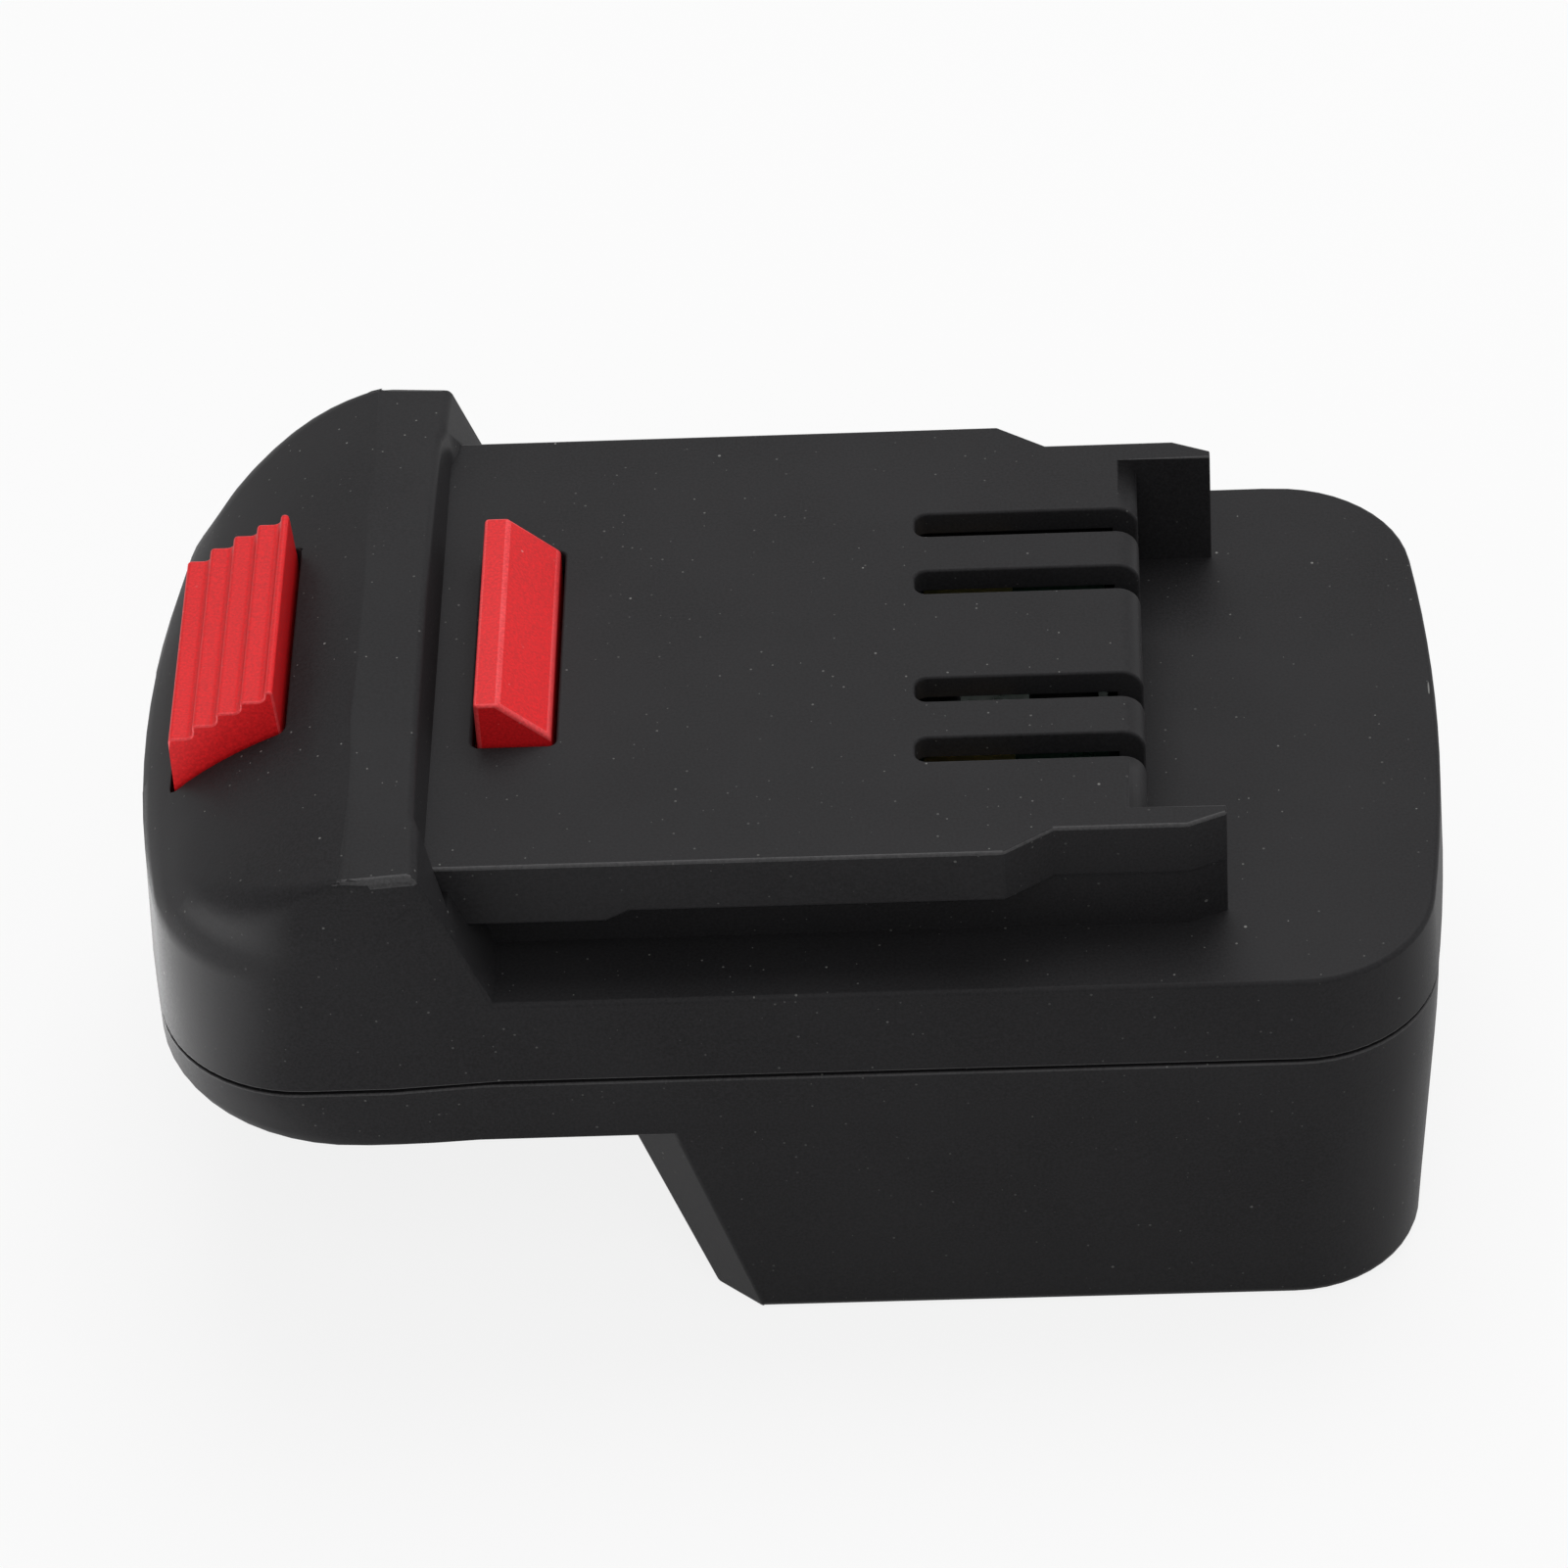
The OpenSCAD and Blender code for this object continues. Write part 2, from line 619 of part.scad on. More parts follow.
module upper_shell() {
    color([0.07, 0.07, 0.075])
        difference() {
            union() {
                difference() {
                    union() {
                        body_top();
                        hump_outside();
                        rail_outside();
                    }
                    // rebate for the tongue and the space inside
                    inner_level(z_seam - 1, z_seam + tongue_h + tongue_clear,
                        wall - tongue_t - tongue_clear);
                    inner_level(z_seam - 1, z_shoulder - wall, wall + upper_draft);
                    hump_form(wall, z_seam - 1);
                    translate([inner_lean_x(z_roof) - wall, -neck_w / 2 + wall, z_shoulder - wall - 1])
                        cube([x_deck - wall - inner_lean_x(z_roof) + wall, neck_w - 2 * wall,
                            z_roof - z_shoulder + wall + 1]);
                }
                upper_bosses();
            }
            upper_holes();
            // windows for the button and the latch
            translate([0, 0, z_web])
                linear_extrude(z_hump)
                    polygon(window_plan(x_button, x_button_rear, button_w));
            translate([0, 0, z_roof - 1])
                linear_extrude(z_hump)
                    polygon(window_plan(x_latch, x_latch_rear, latch_w));
            // terminal slots
            for (y = slot_y)
                translate([0, 0, z_deck - slot_depth])
                    linear_extrude(slot_depth + 1)
                        slot_plan(y);
        }
}

// The upper shell between the seam and the shoulder, behind the front section
module body_top() {
    x_start = x_main - blend_len / 2;
    half = body_w / 2 - upper_draft;
    loft([[z_seam, rear_outline(x_start, body_w / 2, 0, rear_corner_r, rear_bulge)],
        [z_shoulder, rear_outline(x_start, half, upper_draft, rear_corner_r - upper_draft, rear_bulge)]]);
}

// Outline of the lower shell on a rear part; t runs from the tray's underside up its rounded edge
function tray_ring(rear, t) =
    let (edge_in = tray_edge_r / 4 * (1 - t) * (1 - t))
    body_outline(rear, edge_in, tray_draft + edge_in / 2,
        corner_r + tray_corner_extra * (1 - t * tray_edge_r / tray_h));

// The space in front of the receiver block, whose front leans and has bevelled corners
module front_space() {
    half = body_w / 2 - tray_draft;
    x_edge = x_rear - block_len + block_h * tan(block_lean);
    x_corner = (front_w - half) * block_bevel_len / block_bevel;
    difference() {
        translate([x_front - 1, -front_w / 2 - 1, -1])
            cube([body_len, front_w + 2, z_tray + 1]);
        translate([x_edge, 0, 0])
            rotate([0, -block_lean, 0])
                translate([0, 0, -far / 2])
                    linear_extrude(far)
                        polygon([[far, -front_w], [far, front_w], [x_corner, front_w],
                            [-block_bevel_len, half - block_bevel],
                            [-block_bevel_len, block_bevel - half], [x_corner, -front_w]]);
    }
}

// The tray and the receiver block behind it, as one form
module lower_outside() {
    low = -0.25;
    foot = rear_part(tray_draft + block_draft, tray_draft + block_end_draft, block_bulge);
    rear = rear_part(tray_draft, tray_draft, rear_bulge);
    difference() {
        loft(concat([[0, tray_ring(foot, low)]],
            [for (t = [low, -low, 0.5, 0.75, 1]) [z_tray + t * tray_edge_r, tray_ring(rear, t)]],
            [[z_seam, body_outline(rear_part(0, 0, rear_bulge), 0, 0, corner_r)]]));
        front_space();
    }
}

module lower_posts() {
    for (side = [-1, 1]) {
        translate([front_screw_x, side * front_screw_span / 2, z_tray + eps])
            cylinder(r = screw_head_d / 2 + pass_clear + wall / 2, h = tray_h - eps);
        translate([rear_screw_x, side * rear_screw_span / 2, wall])
            cylinder(r = screw_head_d / 2 + pass_clear + wall / 2, h = z_seam - wall);
        translate([x_pin, side * pin_span / 2, z_floor - wall / 2])
            cylinder(d = pin_d, h = z_pin - z_floor + wall / 2);
        // stop that the latch's web lands on
        translate([x_latch + latch_len / 2, side * pin_span / 2, z_floor - wall / 2])
            cylinder(d = pin_d, h = z_web - travel - stop_clear - z_floor + wall / 2);
    }
    // roof over the recess for the pack's hook
    translate([x_front + hook_setback - wall, -hook_w / 2 - wall, z_floor - wall / 2])
        cube([hook_len + 2 * wall, hook_w + 2 * wall, hook_depth + wall / 2]);
}

module lower_holes() {
    for (side = [-1, 1]) {
        translate([front_screw_x, side * front_screw_span / 2, 0]) {
            translate([0, 0, z_tray - 1])
                cylinder(r = screw_head_d / 2 + pass_clear, h = front_sink + 1);
            translate([0, 0, z_tray])
                cylinder(r = screw_d / 2 + pass_clear, h = far);
        }
        translate([rear_screw_x, side * rear_screw_span / 2, 0]) {
            translate([0, 0, -1])
                cylinder(r = screw_head_d / 2 + pass_clear, h = rear_sink + 1);
            cylinder(r = screw_d / 2 + pass_clear, h = far);
        }
        translate([x_carrier + carrier_len / 2, side * carrier_screw_y, z_tray - 1])
            cylinder(r = small_d / 2 + grip_clear, h = far);
    }
    translate([x_front + hook_setback, -hook_w / 2, z_tray - 1])
        cube([hook_len, hook_w, hook_depth + 1]);
    translate([x_carrier - carrier_clear, -carrier_w / 2 - carrier_clear, z_tray - 1])
        cube([carrier_len + 2 * carrier_clear, carrier_w + 2 * carrier_clear, wall + 2]);
}

module lower_shell() {
    x_channel = x_rear - channel_back;
    color([0.06, 0.06, 0.065])
        difference() {
            union() {
                difference() {
                    lower_outside();
                    inner_level(z_floor, z_seam + 1, wall);
                    // space behind the channel's back wall
                    intersection() {
                        inner_level(wall, z_floor + eps, wall + block_end_draft + tray_draft);
                        translate([x_channel + wall, -far / 2, 0])
                            cube([far, far, far]);
                    }
                }
                // tongue that stands up into the upper shell
                difference() {
                    inner_level(z_seam - wall / 2, z_seam + tongue_h, wall - tongue_t);
                    inner_level(z_seam - wall, z_seam + tongue_h + 1, wall);
                }
                lower_posts();
            }
            // channel for the pack, with a lip along each side
            translate([x_front, -channel_w / 2, lip_h])
                cube([x_channel - x_front, channel_w, z_tray - lip_h]);
            translate([x_front, -channel_w / 2 + lip_reach, -1])
                cube([x_channel - x_front, channel_w - 2 * lip_reach, lip_h + 2]);
            lower_holes();
        }
}

// Height of a step of the button
function step_z(i) = z_step + i * step_rise + step_bow * i * (step_count - i) / step_count;

// Side outline of one step: its round lip, then the hollow at the foot of the next rise
function step_outline(i) =
    let (x = x_button + i * step_len,
        z = step_z(i),
        hollow = min(step_hollow_r, step_z(i + 1) - z - step_lip_r - eps))
    concat(arc_points([x + step_lip_r, z - step_lip_r], step_lip_r, 180, 90, 0, fillet_steps),
        arc_points([x + step_len - hollow, z + hollow], hollow, 270, 360, 0, fillet_steps));

// Side outline of the button: a flight of steps rising to a round rib, then a leaning rear face
function step_points() = concat(
    [for (i = [0 : step_count - 1]) for (p = step_outline(i)) p],
    arc_points([x_rib + rib_w / 2, step_z(step_count) - rib_w / 2], rib_w / 2, 180, 0, 0, 2 * fillet_steps),
    [[x_button_rear, z_step]]);

module release_latch() {
    z_latch = z_deck + latch_proud;
    color([0.80, 0.10, 0.11])
        difference() {
            union() {
                // button
                translate([0, button_w / 2, 0])
                    rotate([90, 0, 0])
                        linear_extrude(button_w)
                            polygon(concat([[x_button_rear, z_web], [x_button, z_web]], step_points()));
                // keepers under the roof at both sides of the button
                translate([0, web_w / 2, 0])
                    rotate([90, 0, 0])
                        linear_extrude(web_w)
                            polygon([[x_button_rear, z_web], [x_button, z_web], [x_button, z_keeper],
                                [x_button_rear, keeper_z(x_button_rear)]]);
                // web
                translate([x_button, -web_w / 2, z_web])
                    cube([x_latch_rear - x_button, web_w, web_t]);
                // latch with its ramp
                translate([0, latch_w / 2, 0])
                    rotate([90, 0, 0])
                        linear_extrude(latch_w)
                            polygon([[x_latch, z_web], [x_latch, z_latch], [x_latch + latch_flat, z_latch],
                                [x_latch_rear, z_deck + latch_toe], [x_latch_rear, z_web]]);
            }
            for (side = [-1, 1])
                translate([x_pin, side * pin_span / 2, z_web - 1])
                    cylinder(d = pin_d + 2 * pin_clear, h = web_t + 2);
        }
}

// A coil spring as one swept tube, with flat-lying end turns
module coil_spring() {
    sides = 6;
    rings = 12;
    count = spring_turns * rings;
    rise = spring_h - spring_wire - 2 * spring_seat;
    skin([
        for (i = [0 : count])
            [for (k = [0 : sides - 1])
                let (turn = 360 * i / rings,
                    out = spring_r + spring_wire / 2 * cos(360 * k / sides),
                    up = spring_wire / 2 * (1 + sin(360 * k / sides)) + spring_lift(i / count) * rise)
                [out * cos(turn), out * sin(turn), up + spring_seat]]]);
}

// Seat gap at each end of a spring, and how its wire rises along its length
spring_seat = 0.05;
end_turn = 0.8 / spring_turns;
end_rise = (spring_wire + 0.5) / (spring_h - spring_wire);
function spring_lift(t) = t < end_turn ? t / end_turn * end_rise
    : t > 1 - end_turn ? 1 - (1 - t) / end_turn * end_rise
    : end_rise + (t - end_turn) / (1 - 2 * end_turn) * (1 - 2 * end_rise);

module latch_spring(side) {
    color([0.75, 0.76, 0.78])
        translate([x_pin, side * pin_span / 2, z_floor])
            coil_spring();
}

module latch_spring_left() {
    latch_spring(1);
}

module latch_spring_right() {
    latch_spring(-1);
}

module contact_board() {
    color([0.04, 0.11, 0.08])
        difference() {
            translate([x_board, -board_w / 2, z_board])
                cube([board_len, board_w, board_t]);
            for (i = [0, 1])
                translate([x_board_screw + i * board_screw_pitch, 0, z_board - 1])
                    cylinder(r = small_d / 2 + pass_clear, h = board_t + 2);
        }
}

// A pan-head screw that points up, with its head's bearing face at z = 0
module screw(d, len, head_d, head_h) {
    drive = d * 0.55;
    difference() {
        union() {
            translate([0, 0, -head_h])
                cylinder(d = head_d, h = head_h);
            cylinder(d = d, h = len);
        }
        for (turn = [0, 90])
            rotate([0, 0, turn])
                translate([-drive, -d / 8, -head_h - eps])
                    cube([2 * drive, d / 4, head_h / 2]);
    }
}

module board_screws() {
    color([0.72, 0.73, 0.75])
        for (i = [0, 1])
            translate([x_board_screw + i * board_screw_pitch, 0, z_board])
                screw(small_d, board_screw_len, small_head_d, small_head_h);
}

// A sprung clip: two leaves on a base, pinched near the rear mouth and flared at it
module tool_contact(y) {
    leaf = [[0, slot_w / 2 - contact_t], [contact_len * 0.2, slot_w / 2 - contact_t],
        [contact_len * 0.75, contact_pinch / 2 + contact_t], [contact_len, slot_w / 2 - contact_t]];
    shift = [0, -contact_t];
    color([0.78, 0.62, 0.30])
        translate([x_contact, y, z_board + board_t]) {
            for (side = [0, 1])
                mirror([0, side, 0])
                    linear_extrude(contact_h - contact_t)
                        polygon(concat(leaf, [for (i = [3 : -1 : 0]) leaf[i] + shift]));
            translate([0, -slot_w / 2 + contact_t, 0])
                cube([contact_len * 0.7, slot_w - 2 * contact_t, contact_t]);
        }
}

module tool_contact_positive() {
    tool_contact(contact_y[0]);
}

module tool_contact_sense() {
    tool_contact(contact_y[1]);
}

module tool_contact_negative() {
    tool_contact(contact_y[2]);
}

// A blade that points to the front, with a tail that rises through the terminal block
module blade_plate(y, grow) {
    tip = blade_h / 4;
    translate([0, y + blade_t / 2 + grow, 0])
        rotate([90, 0, 0])
            linear_extrude(blade_t + 2 * grow)
                polygon([[x_carrier - blade_out, z_blade + tip],
                    [x_carrier - blade_out + tip, z_blade - grow],
                    [x_tail + tail_w + grow, z_blade - grow], [x_tail + tail_w + grow, z_tail],
                    [x_tail - grow, z_tail], [x_tail - grow, z_blade + blade_h + grow],
                    [x_carrier - blade_out + tip, z_blade + blade_h + grow],
                    [x_carrier - blade_out, z_blade + blade_h - tip]]);
}

module blade(i) {
    color([0.80, 0.66, 0.36])
        blade_plate(blade_y[i], 0);
}

module blade_positive() {
    blade(0);
}

module blade_sense() {
    blade(1);
}

module blade_negative() {
    blade(2);
}

module terminal_block() {
    insert_clear = 0.02;
    color([0.12, 0.12, 0.13])
        difference() {
            union() {
                translate([x_carrier, -carrier_w / 2, z_carrier])
                    cube([carrier_len, carrier_w, z_floor - z_carrier + eps]);
                translate([x_carrier - carrier_flange_end, -carrier_w / 2 - carrier_flange, z_floor])
                    cube([carrier_len + 2 * carrier_flange_end, carrier_w + 2 * carrier_flange, carrier_flange_t]);
            }
            for (y = blade_y)
                blade_plate(y, insert_clear);
            for (side = [-1, 1])
                translate([x_carrier + carrier_len / 2, side * carrier_screw_y, z_floor - 1])
                    cylinder(r = small_d / 2 + pass_clear, h = far);
        }
}

module terminal_block_screws() {
    color([0.72, 0.73, 0.75])
        for (side = [-1, 1])
            translate([x_carrier + carrier_len / 2, side * carrier_screw_y, z_floor + carrier_flange_t])
                mirror([0, 0, 1])
                    screw(small_d, carrier_screw_len, small_head_d, small_head_h);
}

// A round wire through points that lie in one upright plane, mitred at its bends
module wire(points) {
    sides = 12;
    last = len(points) - 1;
    run = points[last] - points[0];
    across = [-run[1], run[0], 0] / norm([run[0], run[1]]);
    legs = [for (i = [0 : last - 1]) (points[i + 1] - points[i]) / norm(points[i + 1] - points[i])];
    skin([
        for (i = [0 : last])
            let (bend = legs[max(0, i - 1)] + legs[min(last - 1, i)],
                upward = cross(across, bend / norm(bend)) * 2 / norm(bend))
            [for (k = [0 : sides - 1])
                points[i] + wire_d / 2 * (cos(360 * k / sides) * across + sin(360 * k / sides) * upward)]]);
}

// From the top of a blade's tail to the underside of the board below its contact
module contact_wire(i, tint) {
    x_pad = x_contact + contact_len / 2;
    x_top = x_tail + tail_w / 2;
    lift = (z_board - z_tail) / 3;
    color(tint)
        wire([[x_top, blade_y[i], z_tail], [x_top, blade_y[i], z_tail + lift],
            [x_pad, contact_y[i], z_board - lift], [x_pad, contact_y[i], z_board]]);
}

module wire_positive() {
    contact_wire(0, [0.75, 0.08, 0.08]);
}

module wire_sense() {
    contact_wire(1, [0.85, 0.85, 0.82]);
}

module wire_negative() {
    contact_wire(2, [0.08, 0.08, 0.08]);
}

module case_screws_front() {
    color([0.60, 0.61, 0.63])
        for (side = [-1, 1])
            translate([front_screw_x, side * front_screw_span / 2, z_tray + front_sink])
                screw(screw_d, front_screw_len, screw_head_d, screw_head_h);
}

module case_screws_rear() {
    color([0.60, 0.61, 0.63])
        for (side = [-1, 1])
            translate([rear_screw_x, side * rear_screw_span / 2, rear_sink])
                screw(screw_d, rear_screw_len, screw_head_d, screw_head_h);
}

upper_shell();
lower_shell();
release_latch();
latch_spring_left();
latch_spring_right();
contact_board();
board_screws();
tool_contact_positive();
tool_contact_sense();
tool_contact_negative();
terminal_block();
terminal_block_screws();
blade_positive();
blade_sense();
blade_negative();
wire_positive();
wire_sense();
wire_negative();
case_screws_front();
case_screws_rear();
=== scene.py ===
"""The looks of the tool battery adapter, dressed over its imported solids. Units are metres."""
import json
import math

import bmesh
import bpy
from mathutils import Euler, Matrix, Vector
from mathutils.bvhtree import BVHTree


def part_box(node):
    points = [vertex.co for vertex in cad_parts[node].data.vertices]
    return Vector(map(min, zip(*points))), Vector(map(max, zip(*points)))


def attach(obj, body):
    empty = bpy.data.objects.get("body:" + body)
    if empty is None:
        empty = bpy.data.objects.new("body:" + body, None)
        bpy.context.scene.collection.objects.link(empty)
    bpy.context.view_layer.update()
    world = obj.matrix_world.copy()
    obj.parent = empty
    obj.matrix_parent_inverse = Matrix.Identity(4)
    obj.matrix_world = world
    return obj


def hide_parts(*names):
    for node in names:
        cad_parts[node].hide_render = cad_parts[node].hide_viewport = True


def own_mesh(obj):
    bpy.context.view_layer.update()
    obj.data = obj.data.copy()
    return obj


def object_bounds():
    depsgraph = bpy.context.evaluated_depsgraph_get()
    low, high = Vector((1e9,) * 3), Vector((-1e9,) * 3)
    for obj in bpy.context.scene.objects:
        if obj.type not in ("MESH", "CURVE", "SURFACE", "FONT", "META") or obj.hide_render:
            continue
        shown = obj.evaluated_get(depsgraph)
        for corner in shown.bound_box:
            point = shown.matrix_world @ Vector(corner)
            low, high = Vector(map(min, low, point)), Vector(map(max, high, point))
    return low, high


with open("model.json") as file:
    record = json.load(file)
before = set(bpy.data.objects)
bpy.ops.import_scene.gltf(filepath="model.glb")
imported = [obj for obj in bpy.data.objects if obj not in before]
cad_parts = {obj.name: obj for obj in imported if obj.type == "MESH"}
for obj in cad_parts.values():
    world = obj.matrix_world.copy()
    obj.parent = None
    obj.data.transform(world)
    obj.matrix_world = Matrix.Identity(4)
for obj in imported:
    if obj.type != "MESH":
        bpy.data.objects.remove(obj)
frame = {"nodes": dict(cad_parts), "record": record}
CAD_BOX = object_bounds()

MM = 0.001
NODES = frame["nodes"]
NODE_SLOTS = {s["node"]: s["material_slot"] for s in frame["record"]["subparts"]}

# Camera at the photograph's angle
CAMERA_PLACE = Vector((0.030974, -0.568815, 0.535877))
CAMERA_TURN = Euler([math.radians(a) for a in (48.7324, 2.8792, 0.6816)])
CAMERA_SENSOR_MM = 36.0
CAMERA_LENS_MM = 175.464
CAMERA_CLIP_END = 20

# Stage and light
FLOOR_HALF = 3.0
FLOOR_DROP = 0.05 * MM
FLOOR_SHADOW_SHARE = 0.15
PAPER_COLOR = (0.8, 0.8, 0.8, 1)
WHITE = (1, 1, 1, 1)
WORLD_STRENGTH = 0.27

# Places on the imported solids
SEAM_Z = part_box("upper_shell")[0].z
SHOULDER_Z = 42.8 * MM
DECK_Z = 55.8 * MM
ROOF_DEPTH = 4 * MM
CREST_Z = 58.9 * MM
CREST_X = -44 * MM
EAR_X = -27.5 * MM
RAIL_Y = 25 * MM
ARM_END_X = 42 * MM
WINDOW_X = (-60.3 * MM, -47.1 * MM)
LATCH_X = -40 * MM
UNDER_SIDE_Y = 28 * MM
UNDER_END_X = 52 * MM
SCREW_AXES = [(x * MM, side * y * MM) for x, y in ((-50.5, 27), (55.4, 24)) for side in (-1, 1)]
SCREW_CLEAR = 5 * MM

# How near to a level counts as on it
ON_LEVEL = 0.05 * MM
ON_RIM = 0.01 * MM
RIM_DEPTH = 1 * MM
LEVEL_RISE = 0.1 * MM

# Edge radii of the mouldings, and the gap that shows as the seam
EDGE_R = 0.3 * MM
SEAM_R = 0.2 * MM
SEAM_GAP = 0.44 * MM
SHOULDER_R = 0.55 * MM
CREST_R = 0.8 * MM
EAR_R = 0.38 * MM
WINDOW_R = 0.22 * MM
ARM_END_R = 0.18 * MM
UNDER_R = 1.2 * MM
BUTTON_R = 0.2 * MM
LATCH_R = 0.5 * MM

# Which edges are rounded, and how
SHARP_ANGLE = math.radians(26)
SMOOTH_ANGLE = math.radians(34)
SHORTEST_CHAIN = 15 * MM
ROOM = 0.6
BEVEL_SEGMENTS = 3
RAY_START = 0.3 * MM
RAY_TILTS = [(0, 0, 0), (0, 0, 0.7), (0, 0, -0.7), (0.7, 0, 0), (-0.7, 0, 0)]

# Which rounded faces of the case get a painted highlight, a lighter second material
HIGHLIGHT_DEPTH = 0.6 * MM
HIGHLIGHT_LEAN = (0.25, 0.97)
HIGHLIGHT_SEAM = 0.9 * MM

# Cleaning of the solids' meshes before their edges are rounded
WELD = 0.03 * MM
FLAT_ANGLE = math.radians(0.4)
JOIN_ANGLE = math.radians(6)
FOLD_ANGLE = math.radians(170)
CORNER_X = (-42 * MM, -33 * MM)
CORNER_Y = 36.8 * MM
CORNER_Z = 58.7 * MM
CORNER_WELD = 0.3 * MM

# Dust and grain
DUST_COLOR = (0.55, 0.55, 0.53, 1)
CRUMB_TURN = (0.4, 0.2, 0.9)
HAIR_TURN = (0.3, 0.5, 0.8)
HAIR_STRETCH = (1, 0.09, 0.6)
BRIGHT_DUST = 0.32
FAINT_DUST = 0.24
GRAIN_LIFT = 1.6
GRAIN_DEPTH = 0.03 * MM
MARK_DEPTH = 0.02 * MM


# Shader helpers

def bare_tree(owner):
    """The emptied node tree of a material or a world."""
    owner.use_nodes = True
    owner.node_tree.nodes.clear()
    return owner.node_tree


def new_material(name):
    """A material with a bare node tree, its shader and its output."""
    material = bpy.data.materials.new(name)
    tree = bare_tree(material)
    shader = node(tree, "ShaderNodeBsdfPrincipled")
    node(tree, "ShaderNodeOutputMaterial", {"Surface": shader.outputs["BSDF"]})
    return material, tree, shader


def fill(tree, socket, value):
    """Link another node's output to a socket, or set the socket's own value."""
    if isinstance(value, bpy.types.NodeSocket):
        tree.links.new(value, socket)
    else:
        socket.default_value = value


def node(tree, kind, inputs=None, **settings):
    """A node with its settings; inputs maps a socket to a value or to another node's output."""
    made = tree.nodes.new(kind)
    for key, value in settings.items():
        setattr(made, key, value)
    for key, value in (inputs or {}).items():
        fill(tree, made.inputs[key], value)
    return made


def place(tree, stretch=(1, 1, 1), turn=(0, 0, 0)):
    """Object coordinates in metres, turned and stretched."""
    coordinates = node(tree, "ShaderNodeTexCoord")
    mapping = node(tree, "ShaderNodeMapping", {"Vector": coordinates.outputs["Object"],
                                               "Scale": stretch, "Rotation": turn})
    return mapping.outputs["Vector"]


def noise(tree, where, scale, detail=2.0, roughness=0.5):
    """Noise from 0 to 1 with about scale blobs to the metre."""
    made = node(tree, "ShaderNodeTexNoise", {"Vector": where, "Scale": scale, "Detail": detail,
                                             "Roughness": roughness})
    return made.outputs["Fac"]


def remap(tree, value, low, high, to_low=0.0, to_high=1.0):
    """Value stretched from one range to another and held at its ends."""
    made = node(tree, "ShaderNodeMapRange", {"Value": value, "From Min": low, "From Max": high,
                                             "To Min": to_low, "To Max": to_high})
    return made.outputs["Result"]


def math_node(tree, operation, a, b):
    """The result of one sum on two values."""
    made = node(tree, "ShaderNodeMath", {0: a, 1: b}, operation=operation)
    return made.outputs["Value"]


def mix_color(tree, amount, a, b):
    """Colour a with an amount of colour b over it."""
    made = node(tree, "ShaderNodeMix", data_type="RGBA")
    for socket, value in (("Factor_Float", amount), ("A_Color", a), ("B_Color", b)):
        fill(tree, next(s for s in made.inputs if s.identifier == socket), value)
    return next(s for s in made.outputs if s.identifier == "Result_Color")


def rgba(color, share=1.0):
    """An opaque colour at a share of its brightness."""
    return (*[c * share for c in color], 1)


def coat(tree, shader, color, roughness):
    """Give a shader its colour and its roughness."""
    tree.links.new(color, shader.inputs["Base Color"])
    tree.links.new(roughness, shader.inputs["Roughness"])


def emboss(tree, shader, height, strength, distance):
    """Give a shader the bumps of a height."""
    bump = node(tree, "ShaderNodeBump", {"Height": height, "Strength": strength,
                                         "Distance": distance})
    tree.links.new(bump.outputs["Normal"], shader.inputs["Normal"])


def specks(tree, where, scale, least, most, share):
    """Round specks: one to a cell of the given scale, in a share of the cells, of random size."""
    cells = node(tree, "ShaderNodeTexVoronoi", {"Vector": where, "Scale": scale})
    chance = node(tree, "ShaderNodeSeparateColor", {"Color": cells.outputs["Color"]})
    size = remap(tree, chance.outputs["Red"], 1 - share, 1, least, most)
    shown = math_node(tree, "GREATER_THAN", chance.outputs["Red"], 1 - share)
    inside = math_node(tree, "LESS_THAN", cells.outputs["Distance"], size)
    return math_node(tree, "MULTIPLY", inside, shown)


def seen_directly(tree):
    """1 for rays of the camera, of glossy faces and through clear ones, and 0 for the others."""
    path = node(tree, "ShaderNodeLightPath")
    seen = math_node(tree, "MAXIMUM", path.outputs["Is Camera Ray"], path.outputs["Is Glossy Ray"])
    return math_node(tree, "MAXIMUM", seen, path.outputs["Is Transmission Ray"])


# Materials

def dust_on(tree, where, dust):
    """How much dust covers each point: many fine points in drifts, fewer crumbs and hairs."""
    coordinates = node(tree, "ShaderNodeTexCoord")
    normal = node(tree, "ShaderNodeSeparateXYZ", {0: coordinates.outputs["Normal"]})
    lying = remap(tree, normal.outputs["Z"], 0.0, 0.8, to_low=0.45)
    drift = remap(tree, noise(tree, where, scale=45), 0.3, 0.62)
    points = specks(tree, where, scale=1000, least=0.05, most=0.13, share=dust)
    crumbs = specks(tree, place(tree, turn=CRUMB_TURN), scale=420, least=0.035, most=0.075,
                    share=dust * 0.6)
    hairs = specks(tree, place(tree, HAIR_STRETCH, HAIR_TURN), scale=230, least=0.012, most=0.026,
                   share=dust * 0.5)
    bright = math_node(tree, "MULTIPLY", math_node(tree, "MAXIMUM", crumbs, hairs), BRIGHT_DUST)
    faint = math_node(tree, "MULTIPLY", math_node(tree, "MULTIPLY", points, drift), FAINT_DUST)
    return math_node(tree, "MULTIPLY", math_node(tree, "MAXIMUM", bright, faint), lying)


